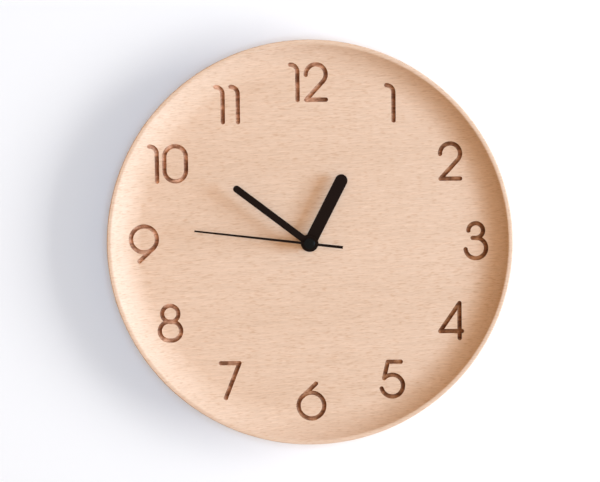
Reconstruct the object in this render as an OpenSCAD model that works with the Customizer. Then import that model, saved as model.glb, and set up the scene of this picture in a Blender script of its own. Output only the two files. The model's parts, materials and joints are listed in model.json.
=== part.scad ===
// Round wooden wall clock with carved numerals, three hands and a battery quartz movement.
// Millimetres. The wall is the plane y = 0, the face looks along -Y, twelve o'clock is +Z.
// The origin is on the hand arbor, in the wall plane.

/* [Case] */
// Outside diameter of the wooden body at the rim.
case_d = 260; // [230:5:320]
// Depth of the dished front, from rim to dial.
dish_depth = 9.5; // [7:0.5:13]
// Width of the curved slope between dial and rim.
slope_w = 19.3; // [16:0.1:32]
// Wood left between the pocket and the dial.
web_t = 2.8; // [2:0.1:5]
// Radius of the rounded edges of the rim.
rim_r = 0.7; // [0.4:0.1:1.4]
// Width of the flat land on the rim.
rim_land = 1.6; // [0.6:0.1:3]
// How far the back edge stands in from the rim.
back_inset = 7; // [4:0.5:10]
// Radius of the rounded back edge.
back_r = 2.5; // [1:0.25:4]
// Play round the movement in its pocket.
pocket_gap = 1; // [0.4:0.1:3]

/* [Numerals] */
// Height of a carved numeral over all.
num_h = 25.4; // [18:0.2:28]
// Width of the cutter's groove.
groove_w = 2.8; // [2:0.1:3.6]
// Depth of the groove below the dish.
groove_deep = 1.8; // [0.6:0.1:2.2]
// Distance of the numeral ring from the rim.
num_in = 25.3; // [22:0.1:34]
// How much closer to the arbor the ring is at twelve and six.
num_squash = 1.7; // [0:0.1:4]
// How much farther out three and nine stand.
num_push = 2.2; // [0:0.1:3]

/* [Hanger] */
// Length of the keyhole plate.
hang_l = 44; // [40:1:60]
// Height of the keyhole plate.
hang_h = 21; // [19:0.5:28]
// Thickness of the keyhole plate.
hang_t = 1.5; // [1:0.1:2]
// Diameter of the keyhole's entry.
hang_hole_d = 9; // [7:0.5:10]
// Width of the keyhole's slot.
hang_slot_w = 4.4; // [3.4:0.1:5.5]
// Wood between the pocket and the plate.
hang_gap = 8; // [4:0.5:20]
// Depth of the room behind the plate for a screw head.
hang_room = 8; // [5:0.5:11]
// Shank diameter of the plate's screws.
hang_screw_d = 3; // [2.5:0.1:3.5]
// Length of the plate's screws.
hang_screw_l = 13; // [9:0.5:16]
// Distance of a plate screw from the plate's end.
hang_screw_in = 5.5; // [4.5:0.5:8]

/* [Cell] */
// Diameter of the cell.
cell_d = 14.2; // [13.6:0.1:14.5]
// Length of the cell with its knob.
cell_l = 50.5; // [50:0.1:52]
// Diameter of the cell's knob.
cell_knob_d = 5.5; // [4.6:0.1:6]
// Room for a contact spring at each end.
contact_room = 1.35; // [1:0.05:2]
// Thickness of the contact strip.
contact_t = 0.3; // [0.2:0.05:0.4]
// Width of the contact strip.
contact_w = 9; // [6:0.5:10]

/* [Movement] */
// Wall of the movement's box.
shell_t = 1.4; // [1.2:0.1:2]
// Thickness of the back cover.
cover_t = 1.4; // [1:0.1:1.8]
// Corner radius of the box.
box_r = 4; // [2:0.5:4.5]
// How far the movement stays in from the wall plane.
back_gap = 0.4; // [0.2:0.1:2]
// Thickness of the rubber washer before the box.
washer_t = 0.8; // [0.5:0.1:1.5]
// Diameter of the rubber washer.
washer_d = 20; // [14:0.5:26]
// Diameter of the threaded bush.
bush_d = 8; // [7.6:0.1:9]
// Diameter of the round fixing nut.
nut_d = 10.4; // [9.8:0.1:13]
// Thickness of the fixing nut.
nut_t = 2; // [1.4:0.1:2.4]
// Thickness of the train bridge.
bridge_t = 1.2; // [0.8:0.1:1.4]
// Diameter of the setting knob.
knob_d = 10; // [7:0.5:12]

/* [Train] */
// Distance of the third wheel and of the motion wheel from the arbor.
train_a = 9; // [8.8:0.1:9.4]
// Distance of the fifth wheel from the arbor.
fifth_a = 9.2; // [9.2:0.1:9.6]
// Distance of the rotor from the fifth wheel.
rotor_a = 7; // [6.8:0.1:7.2]
// Teeth of the cannon pinion and of the setting pinion.
cannon_n = 15; // [13:1:18]
// Teeth of the motion wheel.
motion_n = 45; // [39:1:54]
// Teeth of the motion pinion.
motion_pin_n = 12; // [10:1:14]
// Teeth of the hour wheel.
hour_n = 48; // [40:1:56]
// Leaves of the seconds, third, fifth and rotor pinions.
leaf_n = 8; // [8:1:10]
// Teeth of the third wheel.
third_n = 64; // [56:1:80]
// Teeth of the centre wheel.
centre_n = 60; // [54:1:75]
// Teeth of the seconds wheel.
second_n = 40; // [36:1:50]
// Teeth of the fifth wheel.
fifth_n = 48; // [42:1:60]
// Play between meshing teeth.
tooth_play = 0.08; // [0.06:0.01:0.1]
// Thickness of a train wheel.
wheel_t = 0.8; // [0.6:0.05:0.9]
// Radial play of a shaft in its hole.
run_gap = 0.05; // [0.03:0.01:0.08]

/* [Motor] */
// Diameter of the rotor magnet.
magnet_d = 5.6; // [4.5:0.1:5.8]
// Thickness of the rotor magnet.
magnet_t = 2.4; // [1.8:0.1:2.6]
// Thickness of the stator and of the coil core.
stator_t = 1; // [0.7:0.1:1.2]
// Length of the coil between the outer faces of its flanges.
coil_l = 22.4; // [18:0.2:23]
// Height and width of the coil flanges.
coil_h = 6.4; // [5:0.2:6.6]
// Width of a stator leg beside the coil.
leg_w = 3.6; // [3:0.1:4]
// Width of the core strip.
core_w = 3; // [2.4:0.1:3.4]
// Air gap round the rotor magnet.
air_gap = 0.4; // [0.3:0.05:0.6]
// Steel left between the rotor and the coil.
pole_w = 0.74; // [0.6:0.02:1.2]

/* [Hands] */
// Length of the hour hand from the arbor.
hour_l = 49; // [40:0.5:62]
// Width of the hour hand.
hour_w = 8; // [5:0.1:9]
// Diameter of the hour hand's eye.
hour_eye_d = 11.3; // [9.6:0.1:14]
// Height of the hour hand over the dial.
hour_h = 7; // [6.4:0.1:8]
// Length of the minute hand from the arbor.
minute_l = 60.4; // [50:0.2:78]
// Width of the minute hand.
minute_w = 4.5; // [3:0.1:6]
// Diameter of the minute hand's eye.
minute_eye_d = 9.4; // [7.4:0.1:11]
// Height of the minute hand over the hour hand.
minute_h = 4.6; // [3:0.1:6]
// Length of the second hand from the arbor.
second_l = 74; // [56:0.5:84]
// Length of the second hand's tail.
second_tail = 21.4; // [14:0.2:30]
// Width of the second hand at its tip.
second_tip_w = 1.1; // [0.8:0.05:1.6]
// Width of the second hand at its tail.
second_tail_w = 1.8; // [1.2:0.05:3]
// Height of the second hand over the minute hand.
second_h = 1.6; // [1.4:0.1:3]
// Thickness of the hour and minute hands.
blade_t = 0.5; // [0.3:0.05:0.7]
// Thickness of the second hand.
second_t = 0.3; // [0.2:0.05:0.5]
// Diameter of the second hand's cap.
cap_d = 7; // [5:0.1:9]
// Height of the second hand's cap.
cap_h = 1.6; // [1:0.1:2]

/* [Pose] */
// Hour hand, degrees clockwise from twelve.
hour_at = 27.3; // [0:0.1:360]
// Minute hand, degrees clockwise from twelve.
minute_at = 307.4; // [0:0.1:360]
// Second hand, degrees clockwise from twelve.
second_at = 276.8; // [0:0.1:360]

/* [Hidden] */
$fn = 72;
eps = 0.01;

// Depths, from the wall plane towards the viewer.
mov_depth = cell_d + shell_t + 0.4;
cover_in_z = back_gap + cover_t;
front_z = back_gap + mov_depth;
plate_z = front_z - shell_t;
pocket_z = front_z + washer_t;
dial_z = pocket_z + web_t;
case_depth = dial_z + dish_depth;
bush_end_z = dial_z + nut_t + 0.4;

// The dish and its rim: the slope is an arc tangent to the dial and to the rim's inner edge.
case_r = case_d / 2;
lip_r = case_r - rim_r - rim_land;
flat_r = lip_r - slope_w;
slope_r = (slope_w * slope_w + dish_depth * dish_depth) / (2 * dish_depth) - rim_r;
rim_z = case_depth - rim_r;
side_r = (rim_z * rim_z + back_inset * back_inset) / (2 * back_inset);
side_x = case_r - side_r;
back_x = side_x + sqrt(pow(side_r - back_r, 2) - pow(rim_z - back_r, 2));
back_k = side_r / (side_r - back_r);
back_tan = [side_x + (back_x - side_x) * back_k, rim_z + (back_r - rim_z) * back_k];
rim_k = rim_r / (slope_r + rim_r);
rim_tan = [lip_r - slope_w * rim_k, rim_z + (dial_z + slope_r - rim_z) * rim_k];

// The numerals keep the drawing's proportions at any height.
num_s = (num_h - groove_w) / 22.6;
gw = groove_w;

// Levels of the train, from the front plate backwards.
hour_wz = plate_z - 0.3 - wheel_t;
motion_wz = hour_wz - 0.5 - wheel_t;
centre_wz = motion_wz - 0.7 - wheel_t;
third_wz = centre_wz - 0.8 - wheel_t;
second_wz = third_wz - 0.8 - wheel_t;
fifth_wz = second_wz - 0.8 - wheel_t;
bridge_z1 = fifth_wz - 0.9;
bridge_z0 = bridge_z1 - bridge_t;
lean = 0.2;
stator_z0 = third_wz - 0.4;
stator_z1 = stator_z0 + stator_t;
core_z1 = stator_z1 + stator_t;
coil_z = (stator_z1 + core_z1) / 2;

// Axes of the train, seen from the front.
motion_p = [train_a, 0];
knob_p = [2 * train_a, 0];
third_p = [-train_a, 0];
fifth_p = [0, fifth_a];
rotor_dir = 60;
rotor_p = fifth_p + rotor_a * [cos(rotor_dir), sin(rotor_dir)];
pivot_r = 0.35;

// The motor over the rotor sets the height of the box, the cell sets its width.
snug = 0.3;
stator_top = rotor_p[1] + magnet_d / 2 + air_gap + pole_w;
coil_y = stator_top + 0.2 + coil_h / 2;
leg_x = coil_l / 2 + 0.6 + leg_w / 2;
in_w = cell_l / 2 + contact_room;
in_h = coil_y + coil_h / 2 + 0.8;
mov_w = 2 * (in_w + shell_t);
mov_h = 2 * (in_h + shell_t);
box_in_r = max(box_r - shell_t, 0.6);
cell_y = -in_h + snug + cell_d / 2;
cell_z = plate_z - 0.1 - cell_d / 2;
wall_y0 = cell_y + cell_d / 2 + snug;
wall_t = 1;
bridge_y0 = wall_y0 + wall_t + 0.4;
bridge_y1 = rotor_p[1] + 2.34;
pillar_x = 2 * train_a - 0.5;
pillar_lip = 2.4;
pillars_hi = [for (s = [-1, 1]) [s * pillar_x, bridge_y1 - 4.6]];
pillars_lo = [for (s = [-1, 1]) [s * pillar_x, bridge_y0 + pillar_lip]];
pillars = concat(pillars_hi, pillars_lo);

// The board lies over the coil, on two posts.
board_in = 1.2;
pcb_z1 = bridge_z0 + 0.1;
pcb_t = 0.8;
pcb_y0 = bridge_y1 + 0.4;
pcb_y1 = in_h - board_in;
post_y = (pcb_y0 + pcb_y1) / 2;
posts = [for (s = [-1, 1]) [s * (in_w - 5.1), post_y]];

// Shafts at the centre.
arbor_r = 0.5;
tube_r = 1.6;
pipe_r = 2.5;
hour_bz = dial_z + hour_h - blade_t / 2;
minute_bz = hour_bz + minute_h;
second_bz = minute_bz + blade_t / 2 + second_h - second_t / 2;
pipe_end = hour_bz + blade_t + 0.4;
tube_end = minute_bz + blade_t + 0.2;

// The keyhole plate hangs over the pocket.
pocket_w = mov_w + 2 * pocket_gap;
pocket_h = mov_h + 2 * pocket_gap;
hang_y = pocket_h / 2 + hang_gap + hang_h / 2;
hang_z = 0.1;
key_y0 = hang_y - 3.2;
key_y1 = hang_y + 4.6;
screw_x = hang_l / 2 - hang_screw_in;

// Turns the face frame, drawn flat, up against the wall.
module upright() {
  rotate([90, 0, 0]) children();
}

module rod(r, z0, z1, at = [0, 0]) {
  translate([at[0], at[1], z0]) cylinder(r = r, h = z1 - z0);
}

module tube(ro, ri, z0, z1) {
  difference() {
    rod(ro, z0, z1);
    rod(ri, z0 - 1, z1 + 1);
  }
}

module box(x0, x1, y0, y1, z0, z1) {
  translate([x0, y0, z0]) cube([x1 - x0, y1 - y0, z1 - z0]);
}

module round_rect(w, h, r) {
  square([w, h - 2 * r], center = true);
  square([w - 2 * r, h], center = true);
  for (sx = [-1, 1], sy = [-1, 1])
    translate([sx * (w / 2 - r), sy * (h / 2 - r)]) circle(r);
}

module slab(w, h, r, z0, z1) {
  translate([0, 0, z0]) linear_extrude(z1 - z0) round_rect(w, h, r);
}

// Gear outlines: involute flanks above the base circle, radial ones below it.
function inv_deg(a) = tan(a) * 180 / PI - a;
function half_deg(rp, rb, m, r) =
  (PI * m / 2 - tooth_play) / 2 / rp * 180 / PI + inv_deg(20) - inv_deg(acos(min(1, rb / max(r, rb))));
function gear_pts(n, m, phase) =
  let (rp = m * n / 2, rb = rp * cos(20), ra = rp + 0.8 * m, rr = rp - 1.1 * m)
  let (rs = [rr, max(rr + 0.02, rb), rp, ra])
  [for (i = [0:n - 1], k = [0:7])
    let (r = k < 4 ? rs[k] : rs[7 - k], h = half_deg(rp, rb, m, r))
    let (a = phase + 360 * i / n + (k < 4 ? -h : h))
    r * [cos(a), sin(a)]];
// The phase at which wheel b meets pinion a, whose first tooth points at pa, in direction d.
function mesh_phase(na, nb, d, pa) = d + 180 + 180 / nb + (d - pa) * na / nb;

module gear(n, m, phase, z0, z1) {
  translate([0, 0, z0]) linear_extrude(z1 - z0) polygon(gear_pts(n, m, phase));
}

// A moulded wheel: toothed rim, thinner web.
module wheel(n, m, phase, z0, hub_r) {
  difference() {
    gear(n, m, phase, z0, z0 + wheel_t);
    difference() {
      rod(m * n / 2 - 2.6 * m, z0 + wheel_t * 0.6, z0 + wheel_t + 1);
      rod(hub_r, z0, z0 + wheel_t + 2);
    }
  }
}

// An arbor between the front plate and the bridge, with a pivot at each end.
module arbor(r) {
  rod(r, bridge_z1 + lean, plate_z - lean);
  rod(pivot_r, bridge_z0 + 0.1, plate_z + 0.6);
}

m_motion = 2 * train_a / (cannon_n + motion_n);
m_hour = 2 * train_a / (motion_pin_n + hour_n);
m_third = 2 * train_a / (leaf_n + third_n);
m_centre = 2 * train_a / (leaf_n + centre_n);
m_second = 2 * fifth_a / (leaf_n + second_n);
m_fifth = 2 * rotor_a / (leaf_n + fifth_n);
motion_ph = mesh_phase(cannon_n, motion_n, 0, 0);

// Numeral strokes, drawn about the middle of a numeral.
module line(a, b) {
  d = (b - a) * num_s;
  translate(a * num_s) rotate(atan2(d[1], d[0])) {
    translate([0, -gw / 2]) square([norm(d), gw]);
    circle(gw / 2);
    translate([norm(d), 0]) circle(gw / 2);
  }
}

module ring(c, r) {
  translate(c * num_s) difference() {
    circle(r * num_s + gw / 2);
    circle(r * num_s - gw / 2);
  }
}

module bow(c, r, a0, a1) {
  rs = r * num_s;
  translate(c * num_s) {
    intersection() {
      difference() {
        circle(rs + gw / 2);
        circle(rs - gw / 2);
      }
      polygon([[0, 0], for (i = [0:8]) let (a = a0 + (a1 - a0) * i / 8) (rs + gw) * 1.4 * [cos(a), sin(a)]]);
    }
    for (a = [a0, a1])
      rotate(a) translate([rs, 0]) circle(gw / 2);
  }
}

module digit(n) {
  if (n == 0) {
    bow([0, 4.35], 6.95, 0, 180);
    bow([0, -4.35], 6.95, 180, 360);
    for (s = [-1, 1]) line([s * 6.95, -4.35], [s * 6.95, 4.35]);
  }
  if (n == 1) {
    bow([-2.25, 6.8], 4.5, 0, 90);
    line([2.25, 6.8], [2.25, -11.3]);
  }
  if (n == 2) {
    bow([0, 4.9], 6.4, -38, 182);
    line([5.04, 0.96], [-6.2, -11.3]);
    line([-6.2, -11.3], [6.4, -11.3]);
  }
  if (n == 3) {
    bow([0, 6.6], 4.7, -90, 180);
    bow([0, -4.7], 6.6, -174, 90);
    line([-2, 1.9], [0, 1.9]);
  }
  if (n == 4) {
    line([5.5, 11.3], [5.5, -11.3]);
    line([-7, -6.8], [7, -6.8]);
    line([5.5, 11.3], [-7, -6.8]);
  }
  if (n == 5) {
    line([-2.7, 11.3], [5.7, 11.3]);
    line([-2.7, 11.3], [-5.15, 0.6]);
    bow([0, -4.2], 7.05, -165, 137);
  }
  if (n == 6) {
    ring([0, -2.95], 8.35);
    line([3.1, 11.3], [-6.72, 2]);
  }
  if (n == 7) {
    line([-6, 11.3], [6, 11.3]);
    line([6, 11.3], [-3, -11.3]);
  }
  if (n == 8) {
    ring([0, 6.05], 5.25);
    bow([0.75, -5.15], 6.15, -90, 90);
    bow([-0.75, -5.15], 6.15, 90, 270);
    for (y = [1, -11.3]) line([-0.75, y], [0.75, y]);
  }
  if (n == 9) rotate(180) digit(6);
}

module numeral(n) {
  if (n < 10) digit(n);
  if (n == 10) {
    translate([-9.4 * num_s, 0]) digit(1);
    translate([4.6 * num_s, 0]) digit(0);
  }
  if (n == 11) {
    translate([-4.9 * num_s, 0]) digit(1);
    translate([4.8 * num_s, 0]) digit(1);
  }
  if (n == 12) {
    translate([-9.1 * num_s, 0]) digit(1);
    translate([4.9 * num_s, 0]) digit(2);
  }
}

module numeral_ring() {
  for (n = [1:12]) {
    out = n == 3 || n == 9 ? num_push : 0;
    translate([(case_r - num_in + out) * sin(30 * n), (case_r - num_in - num_squash) * cos(30 * n)])
      numeral(n);
  }
}

// The room over the dish, sunk by d.
module dish_room(d) {
  translate([0, dial_z - d]) square([flat_r, slope_r]);
  intersection() {
    translate([flat_r, dial_z - d + slope_r]) circle(slope_r);
    translate([flat_r, dial_z - d]) square([lip_r - 4 - flat_r, slope_r]);
  }
}

module case_profile() {
  difference() {
    union() {
      polygon([[0, 0], [back_x, 0], back_tan, [case_r, rim_z], [case_r - rim_r, rim_z],
        [case_r - rim_r, case_depth], [lip_r, case_depth], [lip_r, rim_z], rim_tan,
        [flat_r, dial_z], [0, dial_z]]);
      translate([back_x, back_r]) circle(back_r);
      for (x = [lip_r, case_r - rim_r]) translate([x, rim_z]) circle(rim_r);
      intersection() {
        translate([side_x, rim_z]) circle(side_r);
        polygon([back_tan, [case_r + 5, back_tan[1]], [case_r + 5, rim_z], [case_r - 8, rim_z]]);
      }
    }
    translate([flat_r, dial_z + slope_r]) circle(slope_r);
  }
}

module case() {
  color([0.86, 0.68, 0.5]) upright() difference() {
    rotate_extrude() case_profile();
    slab(pocket_w, pocket_h, box_r + pocket_gap, -1, pocket_z);
    rod(bush_d / 2 + 0.2, pocket_z - 1, dial_z + 1);
    box(-hang_l / 2 - 0.2, hang_l / 2 + 0.2, hang_y - hang_h / 2 - 0.2, hang_y + hang_h / 2 + 0.2,
      -1, hang_z + hang_t);
    rod(hang_hole_d / 2 + 1, 0, hang_z + hang_t + hang_room, [0, key_y0]);
    rod(hang_hole_d / 2 + 1, 0, hang_z + hang_t + hang_room, [0, key_y1]);
    box(-hang_hole_d / 2 - 1, hang_hole_d / 2 + 1, key_y0, key_y1, 0, hang_z + hang_t + hang_room);
    for (s = [-1, 1]) rod(hang_screw_d / 2, 0, hang_z + hang_screw_l + 0.5, [s * screw_x, hang_y]);
    intersection() {
      translate([0, 0, dial_z - 3]) linear_extrude(dish_depth + 3) numeral_ring();
      rotate_extrude() dish_room(groove_deep);
    }
  }
}

module hanger_plate() {
  color([0.72, 0.73, 0.75]) upright() difference() {
    box(-hang_l / 2, hang_l / 2, hang_y - hang_h / 2, hang_y + hang_h / 2, hang_z, hang_z + hang_t);
    rod(hang_hole_d / 2, hang_z - 1, hang_z + hang_t + 1, [0, key_y0]);
    rod(hang_slot_w / 2, hang_z - 1, hang_z + hang_t + 1, [0, key_y1]);
    box(-hang_slot_w / 2, hang_slot_w / 2, key_y0, key_y1, hang_z - 1, hang_z + hang_t + 1);
    for (s = [-1, 1]) translate([s * screw_x, hang_y, hang_z]) {
      cylinder(r1 = hang_screw_d, r2 = hang_screw_d / 2, h = hang_screw_d / 2);
      cylinder(r = hang_screw_d / 2, h = hang_t + 1);
    }
  }
}

module hanger_screws() {
  color([0.8, 0.8, 0.82]) upright() for (s = [-1, 1]) translate([s * screw_x, hang_y, hang_z]) difference() {
    union() {
      cylinder(r1 = hang_screw_d, r2 = hang_screw_d / 2, h = hang_screw_d / 2);
      cylinder(r = hang_screw_d / 2, h = hang_screw_l - hang_screw_d);
      translate([0, 0, hang_screw_l - hang_screw_d])
        cylinder(r1 = hang_screw_d / 2, r2 = 0.2, h = hang_screw_d);
    }
    for (a = [0, 90]) rotate(a) translate([-hang_screw_d * 0.5, -0.35, -1]) cube([hang_screw_d, 0.7, 1.8]);
  }
}

module pivot_holes(z0, z1) {
  for (p = [motion_p, knob_p, third_p, fifth_p, rotor_p]) rod(pivot_r + run_gap, z0, z1, p);
}

module movement_box() {
  color([0.12, 0.12, 0.13]) upright() difference() {
    union() {
      difference() {
        slab(mov_w, mov_h, box_r, cover_in_z, front_z);
        slab(2 * in_w, 2 * in_h, box_in_r, cover_in_z - 1, plate_z);
      }
      box(-in_w - eps, in_w + eps, wall_y0, wall_y0 + wall_t, cover_in_z, plate_z + eps);
      rod(bush_d / 2, plate_z, bush_end_z);
      for (p = pillars_hi) {
        rod(2.5, stator_z1, plate_z + eps, p);
        rod(1.8, bridge_z1, plate_z + eps, p);
      }
      for (p = pillars_lo) rod(1.8, bridge_z1, plate_z + eps, p);
      for (p = posts) {
        rod(2, pcb_z1, plate_z + eps, p);
        rod(0.8, pcb_z1 - pcb_t - 0.4, plate_z, p);
      }
    }
    rod(pipe_r + run_gap, plate_z - 1, bush_end_z + 1);
    pivot_holes(plate_z - 1, plate_z + 0.9);
    for (p = pillars) rod(0.8, bridge_z1 - 1, bridge_z1 + 4.5, p);
    for (s = [0, 1]) mirror([s, 0, 0])
      box(in_w - 1, in_w, wall_y0 - 1, wall_y0 + wall_t + 1, pcb_z1 - 0.3, pcb_z1 + 4.4);
  }
}

module movement_cover() {
  color([0.14, 0.14, 0.15]) upright() difference() {
    union() {
      slab(mov_w, mov_h, box_r, back_gap, cover_in_z);
      for (s = [0, 1]) mirror([s, 0, 0])
        box(in_w - 1.3, in_w - 0.1, 0, 6, cover_in_z - eps, cover_in_z + 1.4);
      box(-3, 3, in_h - 1.3, in_h - 0.1, cover_in_z - eps, cover_in_z + 0.7);
    }
    box(-in_w + 0.4, in_w - 0.4, -in_h, wall_y0, back_gap - 1, cover_in_z + 1);
    rod(knob_d / 2 + 0.6, back_gap - 1, cover_in_z + 1, knob_p);
  }
}

module fixing_nut() {
  color([0.1, 0.1, 0.1]) upright() difference() {
    rod(nut_d / 2, dial_z, dial_z + nut_t);
    rod(bush_d / 2 + 0.02, dial_z - 1, dial_z + nut_t + 1);
    box(-nut_d, nut_d, -0.7, 0.7, dial_z + nut_t - 0.8, dial_z + nut_t + 1);
  }
}

module rubber_washer() {
  color([0.16, 0.16, 0.16]) upright() tube(washer_d / 2, bush_d / 2 + 0.15, front_z, pocket_z);
}

module train_bridge() {
  color([0.88, 0.88, 0.85]) upright() difference() {
    box(-pillar_x - pillar_lip, knob_p[0] + 3.5, bridge_y0, bridge_y1, bridge_z0, bridge_z1);
    rod(pivot_r + run_gap, bridge_z0 - 1, bridge_z1 + 1);
    for (p = [motion_p, third_p, fifth_p, rotor_p]) rod(pivot_r + run_gap, bridge_z0 - 1, bridge_z1 + 1, p);
    rod(1 + run_gap, bridge_z0 - 1, bridge_z1 + 1, knob_p);
    for (p = pillars) rod(0.9, bridge_z0 - 1, bridge_z1 + 1, p);
  }
}

module bridge_screws() {
  color([0.75, 0.75, 0.77]) upright() for (p = pillars) difference() {
    union() {
      rod(0.8, bridge_z0 - 0.5, bridge_z1 + 4.2, p);
      rod(1.5, bridge_z0 - 1, bridge_z0, p);
    }
    translate([p[0] - 2, p[1] - 0.2, bridge_z0 - 2]) cube([4, 0.4, 1.4]);
  }
}

module hour_wheel() {
  color([0.93, 0.92, 0.88]) upright() difference() {
    union() {
      wheel(hour_n, m_hour, mesh_phase(motion_pin_n, hour_n, 180, 0), hour_wz, pipe_r + 0.6);
      rod(pipe_r, hour_wz, pipe_end);
    }
    rod(tube_r + run_gap, hour_wz - 1, pipe_end + 1);
  }
}

module minute_tube() {
  color([0.85, 0.72, 0.35]) upright() difference() {
    union() {
      rod(tube_r, centre_wz - 0.4, tube_end);
      gear(cannon_n, m_motion, 0, motion_wz - 0.2, motion_wz + wheel_t + 0.2);
    }
    rod(arbor_r + run_gap, centre_wz - 1, tube_end + 1);
  }
}

module centre_wheel() {
  color([0.9, 0.9, 0.86]) upright() difference() {
    wheel(centre_n, m_centre, mesh_phase(leaf_n, centre_n, 0, 0), centre_wz, tube_r + 1.2);
    rod(tube_r, centre_wz - 1, centre_wz + wheel_t + 1);
  }
}

module second_arbor() {
  color([0.8, 0.8, 0.82]) upright() union() {
    rod(arbor_r, bridge_z1 + lean, second_bz + second_t + cap_h - 0.5);
    rod(pivot_r, bridge_z0 + 0.1, bridge_z1 + lean + 1);
  }
}

module seconds_wheel() {
  color([0.92, 0.92, 0.9]) upright() difference() {
    union() {
      wheel(second_n, m_second, mesh_phase(leaf_n, second_n, 270, 0), second_wz, 1.9);
      gear(leaf_n, m_third, 0, second_wz + wheel_t - eps, third_wz + wheel_t + 0.2);
    }
    rod(arbor_r, second_wz - 1, third_wz + wheel_t + 1);
  }
}

module third_wheel() {
  color([0.92, 0.92, 0.9]) upright() translate(third_p) {
    arbor(0.6);
    wheel(third_n, m_third, mesh_phase(leaf_n, third_n, 180, 0), third_wz, 1.9);
    gear(leaf_n, m_centre, 0, third_wz + wheel_t - eps, centre_wz + wheel_t + 0.2);
  }
}

module fifth_wheel() {
  color([0.92, 0.92, 0.9]) upright() translate(fifth_p) {
    arbor(0.6);
    wheel(fifth_n, m_fifth, mesh_phase(leaf_n, fifth_n, rotor_dir + 180, 0), fifth_wz, 2.2);
    gear(leaf_n, m_second, 0, fifth_wz + wheel_t - eps, second_wz + wheel_t + 0.2);
  }
}

module rotor_pinion() {
  color([0.9, 0.3, 0.2]) upright() translate(rotor_p) {
    arbor(0.5);
    gear(leaf_n, m_fifth, 0, fifth_wz - 0.2, fifth_wz + wheel_t + 0.3);
  }
}

module rotor_magnet() {
  zc = (stator_z0 + stator_z1) / 2;
  color([0.25, 0.25, 0.27]) upright() translate(rotor_p)
    tube(magnet_d / 2, 0.5, zc - magnet_t / 2, zc + magnet_t / 2);
}

module motion_wheel() {
  color([0.92, 0.92, 0.9]) upright() translate(motion_p) {
    arbor(0.6);
    wheel(motion_n, m_motion, motion_ph, motion_wz, 2.2);
    gear(motion_pin_n, m_hour, 0, motion_wz + wheel_t - eps, hour_wz + wheel_t + 0.1);
  }
}

module setting_knob() {
  kr = knob_d / 2;
  color([0.85, 0.85, 0.83]) upright() translate(knob_p) {
    rod(1, back_gap + 0.1, plate_z - lean);
    rod(pivot_r, plate_z - 1, plate_z + 0.6);
    gear(cannon_n, m_motion, mesh_phase(motion_n, cannon_n, 0, motion_ph), motion_wz - 0.1,
      motion_wz + wheel_t + 0.1);
    difference() {
      translate([0, 0, back_gap + 0.1]) linear_extrude(1.8)
        polygon([for (i = [0:71]) (kr - (i % 3 == 0 ? 0.45 : 0)) * [cos(5 * i), sin(5 * i)]]);
      translate([-kr * 0.6, -0.6, back_gap - 0.2]) cube([kr * 1.2, 1.2, 1]);
    }
  }
}

module stator() {
  ear = pillars_hi[1];
  reach = leg_x + leg_w / 2;
  foot_y = fifth_a + 1.4;
  color([0.6, 0.61, 0.63]) upright() difference() {
    union() {
      box(-reach, reach, foot_y, stator_top, stator_z0, stator_z1);
      box(-ear[0] - 2.3, ear[0] + 2.3, foot_y, ear[1] + 2.4, stator_z0, stator_z1);
      for (s = [0, 1]) mirror([s, 0, 0])
        box(leg_x - leg_w / 2, reach, ear[1], coil_y + core_w / 2 + 1.1, stator_z0, stator_z1);
    }
    rod(magnet_d / 2 + air_gap, stator_z0 - 1, stator_z1 + 1, rotor_p);
    for (p = pillars_hi) rod(1.85, stator_z0 - 1, stator_z1 + 1, p);
  }
}

module coil_core() {
  reach = leg_x + leg_w / 2;
  color([0.66, 0.67, 0.69]) upright()
    box(-reach, reach, coil_y - core_w / 2, coil_y + core_w / 2, stator_z1, core_z1);
}

// The bobbin is a square tube on the core with a flange at each end.
module coil_bobbin() {
  play = 0.05;
  yi = core_w / 2 + play;
  zi = stator_t / 2 + play;
  wall = 0.45;
  flange = 0.8;
  color([0.92, 0.92, 0.9]) upright() difference() {
    union() {
      translate([0, coil_y, coil_z]) cube([coil_l, 2 * (yi + wall), 2 * (zi + wall)], center = true);
      for (s = [-1, 1]) translate([s * (coil_l - flange) / 2, coil_y, coil_z])
        cube([flange, coil_h, coil_h], center = true);
    }
    box(-coil_l, coil_l, coil_y - yi, coil_y + yi, coil_z - zi, coil_z + zi);
  }
}

module coil_winding() {
  zi = stator_t / 2 + 0.5;
  yi = core_w / 2 + 0.5;
  h = coil_h - 1;
  color([0.72, 0.38, 0.18]) upright() translate([0, coil_y, coil_z]) rotate([0, 90, 0]) difference() {
    translate([0, 0, -coil_l / 2 + 0.8]) linear_extrude(coil_l - 1.6) round_rect(h, h, 1.4);
    cube([2 * zi, 2 * yi, 2 * coil_l], center = true);
  }
}

module circuit_board() {
  color([0.2, 0.4, 0.22]) upright() difference() {
    box(-in_w + board_in, in_w - board_in, pcb_y0, pcb_y1, pcb_z1 - pcb_t, pcb_z1);
    for (p = posts) rod(0.85, pcb_z1 - pcb_t - 1, pcb_z1 + 1, p);
  }
}

module quartz_can() {
  can_r = 1;
  can_l = 6;
  at = [-in_w + 9.6, pcb_y0 + 2.2, pcb_z1 + can_r];
  color([0.8, 0.8, 0.82]) upright() translate(at) rotate([0, 90, 0]) {
    cylinder(r = can_r, h = can_l);
    translate([0, 0, -0.6]) cylinder(r = can_r - 0.2, h = 0.6 + eps);
  }
}

module chip_dome() {
  dome_r = 2.92;
  dome_h = 1;
  color([0.06, 0.06, 0.06]) upright() translate([leg_x - leg_w, post_y, pcb_z1]) intersection() {
    translate([0, 0, dome_h - dome_r]) sphere(dome_r);
    cylinder(r = dome_r, h = dome_h);
  }
}

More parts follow.
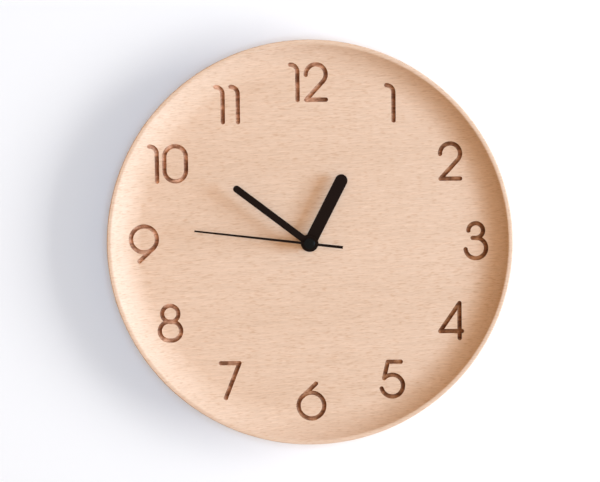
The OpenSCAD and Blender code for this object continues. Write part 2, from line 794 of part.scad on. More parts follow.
// A leaf spring that bows from the box wall to the cell, its tail led up to the board.
module contact() {
  t = contact_t;
  x = in_w;
  xc = cell_l / 2;
  y = cell_y;
  yb = -in_h + box_in_r + 0.1;
  tab = 2;
  tail_y = post_y + 0.8;
  translate([0, 0, cell_z - contact_w / 2]) linear_extrude(contact_w)
    polygon([[x, yb], [x, yb + 0.8], [xc + t, y - 2.2], [xc + t, y + 2.2], [x, y + 4.2], [x, y + 6.4],
      [x - t, y + 6.4], [x - t, y + 4.2], [xc, y + 2.2], [xc, y - 2.2], [x - t, yb + 0.8], [x - t, yb]]);
  box(x - t, x, y + 5.4, tail_y, pcb_z1, pcb_z1 + 4);
  box(x - tab, x, tail_y - tab, tail_y, pcb_z1, pcb_z1 + t);
}

module positive_contact() {
  color([0.83, 0.83, 0.84]) upright() contact();
}

module negative_contact() {
  color([0.83, 0.83, 0.84]) upright() mirror([1, 0, 0]) contact();
}

module aa_cell() {
  color([0.2, 0.3, 0.45]) upright() translate([-cell_l / 2, cell_y, cell_z]) rotate([0, 90, 0]) union() {
    translate([0, 0, 0.3]) cylinder(r = cell_d / 2, h = cell_l - 1.7);
    cylinder(r = cell_d / 2 - 2.2, h = 1);
    cylinder(r = cell_knob_d / 2, h = cell_l);
  }
}

module baton(l, w, eye_d) {
  circle(eye_d / 2);
  translate([-w / 2, 0]) square([w, l - w / 2]);
  translate([0, l - w / 2]) circle(w / 2);
}

module hour_hand() {
  color([0.08, 0.08, 0.08]) upright() translate([0, 0, hour_bz]) rotate(-hour_at) difference() {
    linear_extrude(blade_t) baton(hour_l, hour_w, hour_eye_d);
    translate([0, 0, -1]) cylinder(r = pipe_r + 0.62, h = blade_t + 2);
  }
}

module hour_collet() {
  color([0.78, 0.66, 0.35]) upright() difference() {
    union() {
      rod(pipe_r + 1.4, bush_end_z + 0.6, hour_bz);
      rod(pipe_r + 0.6, bush_end_z + 0.6, hour_bz + blade_t);
    }
    rod(pipe_r, bush_end_z, hour_bz + blade_t + 1);
  }
}

module minute_hand() {
  color([0.08, 0.08, 0.08]) upright() translate([0, 0, minute_bz]) rotate(-minute_at) difference() {
    linear_extrude(blade_t) baton(minute_l, minute_w, minute_eye_d);
    translate([0, 0, -1]) cylinder(r = tube_r + 0.72, h = blade_t + 2);
  }
}

module minute_collet() {
  color([0.78, 0.66, 0.35]) upright() difference() {
    union() {
      rod(tube_r + 1.6, pipe_end + 0.5, minute_bz);
      rod(tube_r + 0.7, pipe_end + 0.5, minute_bz + blade_t);
    }
    rod(tube_r, pipe_end, minute_bz + blade_t + 1);
  }
}

module second_hand() {
  color([0.08, 0.08, 0.08]) upright() translate([0, 0, second_bz]) rotate(-second_at) difference() {
    linear_extrude(second_t) union() {
      circle(2.6);
      polygon([[-second_tail_w / 2, -second_tail], [second_tail_w / 2, -second_tail],
        [second_tip_w / 2, second_l], [-second_tip_w / 2, second_l]]);
    }
    translate([0, 0, -1]) cylinder(r = arbor_r + 0.5, h = second_t + 2);
  }
}

// A turned button: straight edge below, low dome above.
module second_cap() {
  z0 = second_bz + second_t;
  edge = cap_h * 0.5;
  rise = cap_h - edge;
  dome_r = (cap_d * cap_d / 4 + rise * rise) / (2 * rise);
  color([0.08, 0.08, 0.08]) upright() difference() {
    union() {
      rod(cap_d / 2, z0, z0 + edge);
      intersection() {
        translate([0, 0, z0 + cap_h - dome_r]) sphere(dome_r);
        rod(cap_d / 2, z0 + edge, z0 + cap_h);
      }
      rod(arbor_r + 0.5, tube_end + 0.3, z0 + eps);
    }
    rod(arbor_r, tube_end, z0 + cap_h - 0.5);
  }
}

case();
hanger_plate();
hanger_screws();
movement_box();
movement_cover();
fixing_nut();
rubber_washer();
train_bridge();
bridge_screws();
hour_wheel();
minute_tube();
centre_wheel();
second_arbor();
seconds_wheel();
third_wheel();
fifth_wheel();
rotor_pinion();
rotor_magnet();
motion_wheel();
setting_knob();
stator();
coil_core();
coil_bobbin();
coil_winding();
circuit_board();
quartz_can();
chip_dome();
positive_contact();
negative_contact();
aa_cell();
hour_hand();
hour_collet();
minute_hand();
minute_collet();
second_hand();
second_cap();
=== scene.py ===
import json
import math

import bpy
import numpy as np
from mathutils import Euler, Matrix, Vector


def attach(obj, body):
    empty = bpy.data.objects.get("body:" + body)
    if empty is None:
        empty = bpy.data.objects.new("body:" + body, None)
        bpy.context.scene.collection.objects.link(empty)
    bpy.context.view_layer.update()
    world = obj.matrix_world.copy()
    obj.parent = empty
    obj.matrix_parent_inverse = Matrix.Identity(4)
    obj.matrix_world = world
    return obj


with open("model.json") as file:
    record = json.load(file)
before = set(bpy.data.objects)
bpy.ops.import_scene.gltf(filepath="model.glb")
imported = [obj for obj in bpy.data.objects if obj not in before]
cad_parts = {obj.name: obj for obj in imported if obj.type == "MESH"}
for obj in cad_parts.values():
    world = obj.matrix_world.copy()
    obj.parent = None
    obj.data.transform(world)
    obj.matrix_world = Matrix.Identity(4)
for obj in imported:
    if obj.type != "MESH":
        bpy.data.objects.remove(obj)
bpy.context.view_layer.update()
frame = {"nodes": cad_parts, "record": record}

scene = bpy.context.scene
nodes = frame["nodes"]
mm = 0.001
white = (1.0, 1.0, 1.0)


# one shader node; a socket given as an input is linked, anything else is set
def shade(mat, kind, inputs=None, **props):
    made = mat.node_tree.nodes.new(kind)
    for key, value in props.items():
        setattr(made, key, value)
    for key, value in (inputs or {}).items():
        if isinstance(value, bpy.types.NodeSocket):
            mat.node_tree.links.new(value, made.inputs[key])
        else:
            made.inputs[key].default_value = value
    return made


def link(mat, a, b):
    mat.node_tree.links.new(a, b)


def maths(mat, how, *values):
    made = shade(mat, "ShaderNodeMath", dict(enumerate(values)), operation=how)
    return made.outputs[0]


def vectors(mat, how, *values):
    return shade(mat, "ShaderNodeVectorMath", dict(enumerate(values)), operation=how).outputs


def parted(mat, vector):
    return shade(mat, "ShaderNodeSeparateXYZ", {0: vector}).outputs


def blank(name):
    mat = bpy.data.materials.new(name)
    mat.use_nodes = True
    return mat, mat.node_tree.nodes["Principled BSDF"]


def objectPlace(mat):
    return shade(mat, "ShaderNodeTexCoord").outputs["Object"]


def ramp(mat, source, stops):
    made = shade(mat, "ShaderNodeValToRGB", {"Fac": source})
    band = made.color_ramp
    while len(band.elements) < len(stops):
        band.elements.new(0.5)
    for element, (at, colour) in zip(band.elements, stops):
        element.position = at
        element.color = (*colour, 1)
    return made.outputs["Color"]


# a blend of two colours; the sockets of colour mixing are 0, 6 and 7 in, 2 out
def mixed(mat, fac, a, b, how="MIX"):
    made = shade(mat, "ShaderNodeMix", data_type="RGBA", blend_type=how)
    for index, value in ((0, fac), (6, a), (7, b)):
        if isinstance(value, bpy.types.NodeSocket):
            link(mat, value, made.inputs[index])
        else:
            made.inputs[index].default_value = value if index == 0 else (*value, 1)
    return made.outputs[2]


# a colour multiplied by each layer in turn
def layered(mat, colour, layers):
    for layer in layers:
        colour = mixed(mat, 1.0, colour, layer, "MULTIPLY")
    return colour


# two sockets: one where the viewer looks directly, one where in a reflection or through glass
def lookedAt(mat):
    path = shade(mat, "ShaderNodeLightPath").outputs
    mirrored = maths(mat, "MAXIMUM", path["Is Glossy Ray"], path["Is Transmission Ray"])
    return path["Is Camera Ray"], mirrored


speckle = {"scale": 900.0, "detail": 3.0, "spread": 0.06}


# a plain finish with a little noise in its roughness
def plain(name, colour, metallic, roughness, specular=0.5):
    mat, bsdf = blank(name)
    bsdf.inputs["Base Color"].default_value = (*colour, 1)
    bsdf.inputs["Metallic"].default_value = metallic
    bsdf.inputs["Specular IOR Level"].default_value = specular
    noise = {"Vector": objectPlace(mat), "Scale": speckle["scale"], "Detail": speckle["detail"]}
    grain = shade(mat, "ShaderNodeTexNoise", noise).outputs["Fac"]
    smooth, rough = roughness - speckle["spread"], roughness + speckle["spread"]
    spread = shade(mat, "ShaderNodeMapRange", {"Value": grain, "To Min": smooth, "To Max": rough})
    link(mat, spread.outputs["Result"], bsdf.inputs["Roughness"])
    return mat


streaks = {"depth": 0.2, "roughness": 0.55, "shift": (1.0, 0.7, 1.3)}


# noise stretched along x, and less so into the depth, as beech rays run; shift finds fresh noise
def streak(mat, place, along, across, detail, shift=0.0):
    stretch = (along, streaks["depth"] * across, across)
    aside = tuple(shift * share for share in streaks["shift"])
    moved = {"Vector": place, "Scale": stretch, "Location": aside}
    bent = shade(mat, "ShaderNodeMapping", moved).outputs["Vector"]
    noise = {"Vector": bent, "Scale": 1.0, "Detail": detail, "Roughness": streaks["roughness"]}
    return shade(mat, "ShaderNodeTexNoise", noise).outputs["Fac"]


# scorched wood with painted shade; right and up say how fast the painted shade goes from light to dark, per
# metre
scorchAndShade = {
    "patch": {"Scale": 200.0, "Detail": 3.0},
    "tones": ((0.38, (0.25, 0.11, 0.06)), (0.5, (0.42, 0.21, 0.13)), (0.62, (0.58, 0.33, 0.22))),
    "fibre": (90.0, 600.0, 2.0, 2.2),
    "fibreTones": ((0.38, (0.7, 0.67, 0.64)), (0.62, (1.2, 1.2, 1.2))),
    "stemShade": (0.7, 0.63, 0.58),
    "light": (1.28, 1.33, 1.42), "dark": (0.6, 0.49, 0.34),
    "middle": 0.5, "right": 4.3, "up": -1.9,
    "roughness": 0.6, "specular": 0.2,
}


# patchy brown with fibres, with painted shade on the cuts that run across the grain and towards the lower
# right
def scorchWithShade(mat, place, across):
    patch = shade(mat, "ShaderNodeTexNoise", {"Vector": place, **scorchAndShade["patch"]}).outputs["Fac"]
    lines = ramp(mat, streak(mat, place, *scorchAndShade["fibre"]), scorchAndShade["fibreTones"])
    # painted shade: cuts that cross the grain run up and down, and are darkened as if the lamp from the right
    # left them in shadow
    stemShade = mixed(mat, across, white, scorchAndShade["stemShade"])
    at = parted(mat, place)
    right = maths(mat, "MULTIPLY_ADD", at["X"], scorchAndShade["right"], scorchAndShade["middle"])
    lower = maths(mat, "MULTIPLY_ADD", at["Z"], scorchAndShade["up"], right)
    # painted shade: darker towards the lower right, where the dish falls in shade
    paintedShade = mixed(mat, lower, scorchAndShade["light"], scorchAndShade["dark"])
    return layered(mat, ramp(mat, patch, scorchAndShade["tones"]), (lines, stemShade, paintedShade))


# distance from the axis of the hands
def fromAxis(mat, place):
    level = vectors(mat, "MULTIPLY", place, (1.0, 0.0, 1.0))[0]
    return vectors(mat, "LENGTH", level)["Value"]


# the dish: flat to flatR, then an arc of slopeR that starts level
dish = {"dial": 20.0, "flatR": 108.4, "slopeR": 23.6547}
# what counts as cut: this far under the dish, over the floor of the cuts, half either side of ringR
cutZone = {"under": 0.15, "over": 17.9, "ringR": 97.0, "half": 27.0}


# one in the numerals' cuts, zero elsewhere on the wood
def inCut(mat, place):
    slopeR = dish["slopeR"] * mm
    r = fromAxis(mat, place)
    out = maths(mat, "MAXIMUM", maths(mat, "SUBTRACT", r, dish["flatR"] * mm), 0.0)
    chord = maths(mat, "SUBTRACT", slopeR ** 2, maths(mat, "MULTIPLY", out, out))
    centre = (dish["dial"] - cutZone["under"]) * mm + slopeR
    top = maths(mat, "SUBTRACT", centre, maths(mat, "SQRT", chord))
    height = maths(mat, "MULTIPLY", parted(mat, place)["Y"], -1.0)
    under = maths(mat, "LESS_THAN", height, top)
    over = maths(mat, "GREATER_THAN", height, cutZone["over"] * mm)
    between = maths(mat, "COMPARE", r, cutZone["ringR"] * mm, cutZone["half"] * mm)
    return maths(mat, "MULTIPLY", maths(mat, "MULTIPLY", under, between), over)


# each grain is a streak and its tones; the first is the colour, and the others multiply it
beech = {
    "tilt": 3.0,
    "wave": {"Scale": 9.0, "Detail": 1.0}, "drift": (0.0, 0.004, 0.006),
    "grain": (
        ((3.0, 26.0, 2.0), ((0.3, (0.79, 0.573, 0.443)), (0.7, (0.84, 0.62, 0.491)))),  # slow bands
        ((90.0, 1300.0, 2.0, 3.1), ((0.3, (0.94, 0.93, 0.915)), (0.7, (1.05, 1.055, 1.06)))),  # fibres
        ((230.0, 1700.0, 1.0, 7.7), ((0.54, white), (0.7, (0.89, 0.82, 0.75)))),  # rays as dark flecks
        ((170.0, 1300.0, 1.0, 12.3), ((0.58, white), (0.72, (1.05, 1.08, 1.12)))),  # pale flecks
    ),
    # painted shade on the sides that face left, away from the lamp, and straight right, into it
    "leftShade": (0.75, 0.58, 0.34),
    "rightShade": (0.74, 0.64, 0.54), "rightShadeFrom": 0.78,
    "wallsStemShade": 0.7,
    "roughness": 0.52, "specular": 0.14,
    "pores": (120.0, 1500.0, 2.0, 5.5), "poreBump": {"Strength": 0.05, "Distance": 0.0004},
}
# the inner edge of the rim is sanded soft, and light rolls over it
sanded = {"middle": 125.3, "half": 3.3, "over": 2.0, "samples": 8}


def beechWithShade(name):
    mat, bsdf = blank(name)
    here = objectPlace(mat)
    # the grain rises a little to the right, and a slow wave keeps it from running dead straight
    tilt = {"Vector": here, "Rotation": (0.0, math.radians(beech["tilt"]), 0.0)}
    flat = shade(mat, "ShaderNodeMapping", tilt).outputs["Vector"]
    wave = shade(mat, "ShaderNodeTexNoise", {"Vector": flat, **beech["wave"]}).outputs["Color"]
    drift = vectors(mat, "MULTIPLY", wave, beech["drift"])[0]
    place = vectors(mat, "ADD", flat, drift)[0]
    bands, *finer = [ramp(mat, streak(mat, place, *run), tones) for run, tones in beech["grain"]]
    # painted shade: what faces left, away from the lamp, is made darker and richer, and so is the outer side
    # at three o'clock, which faces straight right into the lamp and is toned down against its glare
    facing = parted(mat, shade(mat, "ShaderNodeTexCoord").outputs["Normal"])["X"]
    left = maths(mat, "MINIMUM", facing, 0.0)
    leftShade = mixed(mat, maths(mat, "MULTIPLY", left, left), white, beech["leftShade"])
    straight = {"Value": facing, "From Min": beech["rightShadeFrom"], "From Max": 1.0}
    right = shade(mat, "ShaderNodeMapRange", straight).outputs["Result"]
    # painted shade: the side facing straight right is toned down where the lamp strikes it
    rightShade = mixed(mat, right, white, beech["rightShade"])
    bare = layered(mat, bands, (*finer, leftShade, rightShade))
    # painted shade: the cut walls in the solids take most of the darkening of cuts that cross the grain
    cut = scorchWithShade(mat, here, beech["wallsStemShade"])
    link(mat, mixed(mat, inCut(mat, here), bare, cut), bsdf.inputs["Base Color"])
    bsdf.inputs["Roughness"].default_value = beech["roughness"]
    bsdf.inputs["Specular IOR Level"].default_value = beech["specular"]
    atRim = maths(mat, "COMPARE", fromAxis(mat, here), sanded["middle"] * mm, sanded["half"] * mm)
    over = maths(mat, "MULTIPLY", atRim, sanded["over"] * mm)
    soft = shade(mat, "ShaderNodeBevel", {"Radius": over}, samples=sanded["samples"]).outputs["Normal"]
    pores = {"Height": streak(mat, place, *beech["pores"]), "Normal": soft, **beech["poreBump"]}
    link(mat, shade(mat, "ShaderNodeBump", pores).outputs["Normal"], bsdf.inputs["Normal"])
    return mat


def scorchedShadedCut(name):
    mat, bsdf = blank(name)
    across = shade(mat, "ShaderNodeAttribute", attribute_name="across").outputs["Fac"]
    # the scorch here carries painted shade, by across and towards the lower right
    link(mat, scorchWithShade(mat, objectPlace(mat), across), bsdf.inputs["Base Color"])
    bsdf.inputs["Roughness"].default_value = scorchAndShade["roughness"]
    bsdf.inputs["Specular IOR Level"].default_value = scorchAndShade["specular"]
    return mat


# the wave texture turns by 20 radians per unit of its scale, so 0.12 mm a radian puts the turns of
# wire 0.75 mm apart along the coil
wire = {"colour": (0.62, 0.23, 0.08), "roughness": 0.36, "perRadian": 0.12, "waveRadians": 20}
wireBump = {"Strength": 0.6, "Distance": 0.00006}


def woundCopper(name):
    mat = plain(name, wire["colour"], 1.0, wire["roughness"])
    scale = 1.0 / (wire["perRadian"] * mm * wire["waveRadians"])
    turns = {"Vector": objectPlace(mat), "Scale": scale}
    wave = shade(mat, "ShaderNodeTexWave", turns, bands_direction="X").outputs["Fac"]
    bump = shade(mat, "ShaderNodeBump", {"Height": wave, **wireBump})
    link(mat, bump.outputs["Normal"], mat.node_tree.nodes["Principled BSDF"].inputs["Normal"])
    return mat


# a dark sleeve between the bare steel ends of the cell
cell = {"plus": 23.7, "minus": -24.8, "roughness": 0.3,
        "sleeve": (0.05, 0.06, 0.08), "steel": (0.66, 0.66, 0.67)}


def cellCoat(name):
    mat = plain(name, cell["sleeve"], 0.0, cell["roughness"])
    bsdf = mat.node_tree.nodes["Principled BSDF"]
    along = parted(mat, objectPlace(mat))["X"]
    plusEnd = maths(mat, "GREATER_THAN", along, cell["plus"] * mm)
    minusEnd = maths(mat, "LESS_THAN", along, cell["minus"] * mm)
    bare = maths(mat, "ADD", plusEnd, minusEnd)
    link(mat, mixed(mat, bare, cell["sleeve"], cell["steel"]), bsdf.inputs["Base Color"])
    link(mat, bare, bsdf.inputs["Metallic"])
    return mat


# colour, metallic, roughness and specular level of the plain ones
finishes = {
    "beech": beechWithShade("beech"),
    "hand_black": plain("handBlack", (0.007, 0.002, 0.0005), 0.0, 0.5, 0.1),
    "black_plastic": plain("blackPlastic", (0.022, 0.022, 0.024), 0.0, 0.48),
    "white_plastic": plain("whitePlastic", (0.78, 0.77, 0.72), 0.0, 0.42),
    "red_plastic": plain("redPlastic", (0.55, 0.06, 0.04), 0.0, 0.4),
    "rubber": plain("rubber", (0.025, 0.025, 0.025), 0.0, 0.75, 0.3),
    "zinc_steel": plain("zincSteel", (0.4, 0.41, 0.43), 1.0, 0.38),
    "motor_steel": plain("motorSteel", (0.42, 0.43, 0.45), 1.0, 0.42),
    "brass": plain("brass", (0.74, 0.52, 0.2), 1.0, 0.3),
    "magnet": plain("magnet", (0.08, 0.08, 0.09), 0.6, 0.5),
    "copper": woundCopper("copper"),
    "board": plain("board", (0.03, 0.16, 0.06), 0.0, 0.4),
    "resin": plain("resin", (0.012, 0.012, 0.012), 0.0, 0.2),
    "can_metal": plain("canMetal", (0.74, 0.75, 0.77), 1.0, 0.18),
    "contact_steel": plain("contactSteel", (0.68, 0.68, 0.69), 1.0, 0.26),
    "cell": cellCoat("cellSleeve"),
}
# the cap is glossier than the hands
own = {"second_cap": plain("capBlack", (0.002, 0.0015, 0.001), 0.0, 0.26, 0.12)}
for part in frame["record"]["subparts"]:
    mesh = nodes[part["node"]].data
    mesh.materials.clear()
    mesh.materials.append(own.get(part["node"], finishes[part["material_slot"]]))
print("finishes set on", len(nodes), "nodes")


# a mesh from points and faces that rides on the clock
def piece(name, points, faces, mat, slotName, smooth):
    mesh = bpy.data.meshes.new(name)
    mesh.from_pydata(points.tolist(), [], faces.tolist())
    mesh.polygons.foreach_set("use_smooth", np.full(len(mesh.polygons), smooth))
    mesh.materials.append(mat)
    obj = bpy.data.objects.new(name, mesh)
    scene.collection.objects.link(obj)
    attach(obj, "clock")
    return obj


# height of the dish over the wall: the dial, and past flatR the rise of an arc of slopeR
def dishHeight(r):
    out = np.clip(r - dish["flatR"], 0, dish["slopeR"])
    return dish["dial"] + dish["slopeR"] - np.sqrt(dish["slopeR"] ** 2 - out ** 2)


# numerals about the middle of a digit: lines (ax, ay, bx, by), then arcs (cx, cy, r, from, to)
strokes = {
    0: ([(-6.95, -4.35, -6.95, 4.35), (6.95, -4.35, 6.95, 4.35)],
        [(0, 4.35, 6.95, 0, 180), (0, -4.35, 6.95, 180, 360)]),
    1: ([(2.25, 6.8, 2.25, -11.3)], [(-2.25, 6.8, 4.5, 0, 90)]),
    2: ([(5.04, 0.96, -6.2, -11.3), (-6.2, -11.3, 6.4, -11.3)], [(0, 4.9, 6.4, -38, 182)]),
    3: ([(-2, 1.9, 0, 1.9)], [(0, 6.6, 4.7, -90, 180), (0, -4.7, 6.6, -174, 90)]),
    4: ([(5.5, 11.3, 5.5, -11.3), (-7, -6.8, 7, -6.8), (5.5, 11.3, -7, -6.8)], []),
    5: ([(-2.7, 11.3, 5.7, 11.3), (-2.7, 11.3, -5.15, 0.6)], [(0, -4.2, 7.05, -165, 137)]),
    6: ([(3.1, 11.3, -6.72, 2)], [(0, -2.95, 8.35, 0, 360)]),
    7: ([(-6, 11.3, 6, 11.3), (6, 11.3, -3, -11.3)], []),
    8: ([(-0.75, 1, 0.75, 1), (-0.75, -11.3, 0.75, -11.3)],
        [(0, 6.05, 5.25, 0, 360), (0.75, -5.15, 6.15, -90, 90), (-0.75, -5.15, 6.15, 90, 270)]),
    9: ([(-3.1, -11.3, 6.72, -2)], [(0, 2.95, 8.35, 0, 360)]),
}
# the floors end a little past the lips and lie sunk under the dish there; the grid reaches over the
# digits, and farther over two of them
numerals = {"wide": 2.8, "deep": 1.1, "step": 0.2, "sunk": 0.06, "past": 0.4}
grid = {"one": 12.0, "two": 20.0, "up": 14.0}
ring = {"x": 104.7, "y": 103.0, "push": 2.2}  # three and nine stand farther out by push
twoDigits = {10: ((1, -9.4), (0, 4.6)), 11: ((1, -4.9), (1, 4.8)), 12: ((1, -9.1), (2, 4.9))}


# distance from points (x, y) to the nearest stroke of a digit
def strokeDistance(digit, x, y):
    lines, arcs = strokes[digit]
    best = np.full(x.shape, np.inf)
    for ax, ay, bx, by in lines:
        dx, dy = bx - ax, by - ay
        t = np.clip(((x - ax) * dx + (y - ay) * dy) / (dx * dx + dy * dy), 0, 1)
        best = np.minimum(best, np.hypot(x - ax - t * dx, y - ay - t * dy))
    for cx, cy, r, a0, a1 in arcs:
        turn = (np.degrees(np.arctan2(y - cy, x - cx)) - a0) % 360
        on = np.abs(np.hypot(x - cx, y - cy) - r)
        tips = [(cx + r * math.cos(math.radians(a)), cy + r * math.sin(math.radians(a))) for a in (a0, a1)]
        ends = [np.hypot(x - tx, y - ty) for tx, ty in tips]
        best = np.minimum(best, np.where(turn <= a1 - a0, on, np.minimum(*ends)))
    return best


# steps from -reach to reach, both ends in
def evenly(reach, step):
    return np.arange(-reach, reach + step / 20, step)


# floors of the cuts: a ball as wide as the cut at the lips, sunk to deep along the strokes;
# across is the squared x part of the direction to the stroke, 1 where the cut crosses the grain
def grooves():
    half, deep, step = numerals["wide"] / 2, numerals["deep"], numerals["step"]
    ball = (half ** 2 + deep ** 2) / (2 * deep)
    tiny = 1e-9
    allPoints, allFaces, allAcross, start = [], [], [], 0
    for hour in range(1, 13):
        turn = math.radians(30 * hour)
        ringX = ring["x"] + (ring["push"] if hour in (3, 9) else 0.0)
        cx, cy = ringX * math.sin(turn), ring["y"] * math.cos(turn)
        reach = grid["two"] if hour in twoDigits else grid["one"]
        x, y = np.meshgrid(evenly(reach, step), evenly(grid["up"], step))
        digits = twoDigits.get(hour, ((hour, 0.0),))
        far = np.minimum.reduce([strokeDistance(digit, x - off, y) for digit, off in digits])
        cut = deep - ball + np.sqrt(ball ** 2 - np.minimum(far, half) ** 2)
        high = dishHeight(np.hypot(x + cx, y + cy)) - cut - numerals["sunk"]
        slopeY, slopeX = np.gradient(far ** 2, step)
        across = slopeX ** 2 / np.maximum(slopeX ** 2 + slopeY ** 2, tiny)
        keep = (far < half + numerals["past"]).ravel()
        index = np.arange(x.size).reshape(x.shape)
        square = (index[:-1, :-1], index[:-1, 1:], index[1:, 1:], index[1:, :-1])
        quads = np.stack(square, -1).reshape(-1, 4)
        used, faces = np.unique(quads[keep[quads].all(1)], return_inverse=True)
        allPoints.append(np.stack([x + cx, -high, y + cy], -1).reshape(-1, 3)[used] * mm)
        allFaces.append(faces.reshape(-1, 4) + start)
        allAcross.append(across.ravel()[used])
        start += len(used)
    return np.concatenate(allPoints), np.concatenate(allFaces), np.concatenate(allAcross)


groovePoints, grooveFaces, grooveAcross = grooves()
cuts = piece("numeral_grooves", groovePoints, grooveFaces, scorchedShadedCut("scorchedShadedCut"), "beech", True)
cuts.data.attributes.new("across", "FLOAT", "POINT").data.foreach_set("value", grooveAcross)
print("grooves", len(grooveFaces), "faces")


# a raised strip: stations along a middle line, each with a half width, stood up from the cover
def strip(middle, aside, half, low, top):
    left, right = middle - aside * half[:, None], middle + aside * half[:, None]
    rows = [np.column_stack([edge[:, 0], np.full(len(edge), -high), edge[:, 1]])
            for high in (low, top) for edge in (left, right)]
    n = len(middle)
    i = np.arange(n - 1)
    a, b, c, d = (k * n + i for k in range(4))
    sides = [np.stack(q, -1) for q in ((c, c + 1, d + 1, d), (a, b, b + 1, a + 1),
                                       (a, a + 1, c + 1, c), (b, d, d + 1, b + 1))]
    caps = np.array([[0, 2 * n, 3 * n, n], [n - 1, 2 * n - 1, 4 * n - 1, 3 * n - 1]])
    return np.concatenate(rows) * mm, np.concatenate([*sides, caps])


# marks moulded on the back cover: plus and minus by the cell, an arrow round the setting knob;
# face and top are heights over the wall, and the arrow's head tapers from wide to a blunt tip
marks = {"face": 0.4, "top": 0.15, "plusX": 22.0, "minusX": -22.0, "y": -9.0, "arm": 1.6, "half": 0.35}
arrow = {"x": 18.0, "r": 7.6, "from": 35.0, "head": 118.0, "to": 142.0, "half": 0.4, "wide": 1.2,
         "blunt": 1.0, "step": 0.2, "shaftRows": 24, "headRows": 6}


def coverMarks():
    x, y, arm, half = marks["plusX"], marks["y"], marks["arm"], marks["half"]
    minus = marks["minusX"]
    bars = [(minus - arm, minus + arm, y, y), (x - arm, x + arm, y, y)]
    bars += [(x, x, y + half, y + arm), (x, x, y - arm, y - half)]
    made = []
    for x0, x1, y0, y1 in bars:
        line = np.array([(x0, y0), (x1, y1)])
        along = (line[1] - line[0]) / np.hypot(*(line[1] - line[0]))
        made.append((line, np.tile([-along[1], along[0]], (2, 1)), np.full(2, half)))
    shaft = np.linspace(arrow["from"], arrow["head"], arrow["shaftRows"])
    head = np.linspace(arrow["head"] + arrow["step"], arrow["to"], arrow["headRows"])
    turn = np.concatenate([shaft, head])
    out = np.column_stack([np.cos(np.radians(turn)), np.sin(np.radians(turn))])
    taper = arrow["wide"] * (arrow["to"] + arrow["blunt"] - turn) / (arrow["to"] - arrow["head"])
    bent = np.array([arrow["x"], 0]) + arrow["r"] * out
    made.append((bent, -out, np.where(turn > arrow["head"], taper, arrow["half"])))
    points, faces, start = [], [], 0
    for line, aside, half in made:
        p, f = strip(line, aside, half, marks["face"], marks["top"])
        points.append(p)
        faces.append(f + start)
        start += len(p)
    return np.concatenate(points), np.concatenate(faces)


piece("cover_marks", *coverMarks(), finishes["black_plastic"], "black_plastic", False)
print("cover marks")

backdrop = {"half": 2.5, "behind": 0.0004, "paint": (0.98, 0.98, 0.98)}


# the wall shows only from the front, is plain white in reflections and lets lamps behind it through
def wallPaint():
    mat, bsdf = blank("wallPaint")
    tree = mat.node_tree
    tree.nodes.remove(bsdf)
    back = shade(mat, "ShaderNodeNewGeometry").outputs["Backfacing"]
    direct, mirrored = lookedAt(mat)
    shown = maths(mat, "MULTIPLY", direct, maths(mat, "SUBTRACT", 1.0, back))
    paint = shade(mat, "ShaderNodeBsdfDiffuse", {"Color": (*backdrop["paint"], 1)})
    clear = shade(mat, "ShaderNodeBsdfTransparent")
    glow = shade(mat, "ShaderNodeEmission", {"Color": (*white, 1), "Strength": 1.0})
    pick = shade(mat, "ShaderNodeMixShader", {0: shown, 1: clear.outputs[0], 2: paint.outputs[0]})
    pick = shade(mat, "ShaderNodeMixShader", {0: mirrored, 1: pick.outputs[0], 2: glow.outputs[0]})
    link(mat, pick.outputs[0], tree.nodes["Material Output"].inputs["Surface"])
    return mat


wallMesh = bpy.data.meshes.new("wall")
edge = backdrop["half"]
corners = [(x, backdrop["behind"], z) for x, z in ((-edge, -edge), (edge, -edge), (edge, edge), (-edge, edge))]
wallMesh.from_pydata(corners, [], [(0, 1, 2, 3)])
wallMesh.materials.append(wallPaint())
wall = bpy.data.objects.new("wall", wallMesh)
scene.collection.objects.link(wall)


# an area lamp that points at the origin
def lamp(name, where, width, height, watts, colour):
    data = bpy.data.lights.new(name, "AREA")
    data.shape = "RECTANGLE"
    data.size, data.size_y = width, height
    data.energy = watts
    data.color = colour
    obj = bpy.data.objects.new(name, data)
    obj.location = where
    obj.rotation_euler = (-Vector(where)).to_track_quat("-Z", "Y").to_euler()
    scene.collection.objects.link(obj)
    return obj


# lamps that light the wall only, or all but the wall
def aim(made, state):
    lit = bpy.data.collections.new(made.name + "Lit")
    lit.objects.link(wall)
    lit.collection_objects[0].light_linking.link_state = state
    made.light_linking.receiver_collection = lit


# the wood gets a cool key and a warm fill, the wall the same lamps in its own colours
key = {"far": 3.0, "lift": 28.0, "up": 0.0}
lift = math.radians(key["lift"])
keyAt = (key["far"] * math.cos(lift), -key["far"] * math.sin(lift), key["up"])
fillAt = (0.027, -2.6, 0.18)
cool, warm, wallCool = (0.49, 0.768, 1.0), (1.0, 0.745, 0.515), (0.517, 0.734, 1.0)
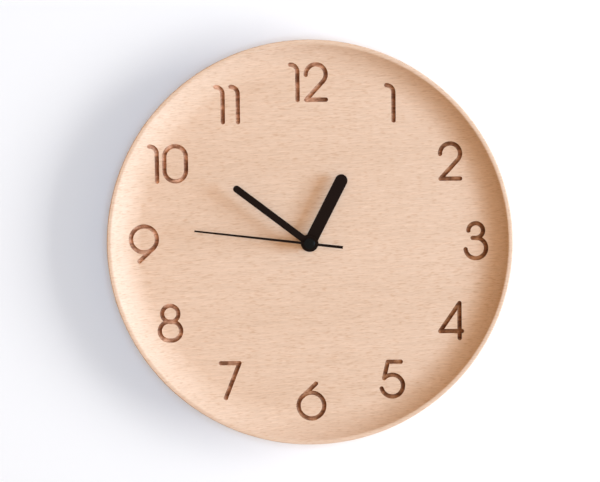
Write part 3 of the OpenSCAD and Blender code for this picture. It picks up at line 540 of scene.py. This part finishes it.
# place, width, height, watts, colour, the wall in or out, shown in reflections
lamps = {
    "keyLight": (keyAt, 1.2, 1.2, 112.0, cool, "EXCLUDE", True),
    "wallKey": (keyAt, 1.2, 2.0, 70.0, white, "INCLUDE", True),
    "fillLight": (fillAt, 1.0, 1.0, 20.5, warm, "EXCLUDE", False),
    "wallFill": (fillAt, 1.0, 1.0, 36.2, wallCool, "INCLUDE", False),
    "backLight": ((0.5, 2.1, -0.6), 1.2, 1.2, 30.0, white, None, True),
    "sideLight": ((-2.4, 0.5, 0.4), 1.0, 1.0, 14.0, white, None, True),
}
for name, (where, width, height, watts, colour, state, shines) in lamps.items():
    made = lamp(name, where, width, height, watts, colour)
    made.visible_glossy = shines
    if state:
        aim(made, state)

# the room: warm, brighter towards the lamp's side, plain white where it is looked at
room = {"middle": 0.45, "lean": 0.38}
world = bpy.data.worlds.new("room")
scene.world = world
world.use_nodes = True
sky = world.node_tree.nodes["Background"]
toward = shade(world, "ShaderNodeTexCoord").outputs["Generated"]
level = maths(world, "MULTIPLY_ADD", parted(world, toward)["X"], room["lean"], room["middle"])
seen = maths(world, "MAXIMUM", *lookedAt(world))
strength = shade(world, "ShaderNodeMix", {0: seen, 2: level, 3: 1.0}, data_type="FLOAT")
link(world, strength.outputs[0], sky.inputs["Strength"])
link(world, mixed(world, seen, warm, white), sky.inputs["Color"])
print("wall, lamps and sky")

# camera: a little above and right of the axis, rolled, the clock right of the middle as photographed
view = {"far": 1.407, "aim": -0.025, "lens": 131.44, "sensor": 36.0, "above": 4.0, "aside": 0.6, "roll": -0.6}
offset = {"right": 9.7, "down": 1.9, "across": 600}  # in pixels of a picture so many across
cameraData = bpy.data.cameras.new("camera")
cameraData.lens = view["lens"]
cameraData.sensor_width = view["sensor"]
cameraData.sensor_fit = "HORIZONTAL"
cameraData.shift_x = -offset["right"] / offset["across"]
cameraData.shift_y = offset["down"] / offset["across"]
camera = bpy.data.objects.new("camera", cameraData)
turned = Euler((math.radians(90 - view["above"]), 0, math.radians(view["aside"]))).to_matrix().to_4x4()
rolled = Matrix.Rotation(math.radians(view["roll"]), 4, "Z")
back = Matrix.Translation((0, 0, view["far"]))
camera.matrix_world = Matrix.Translation((0, view["aim"], 0)) @ turned @ back @ rolled
scene.collection.objects.link(camera)
scene.camera = camera
scene.view_settings.view_transform = "Standard"
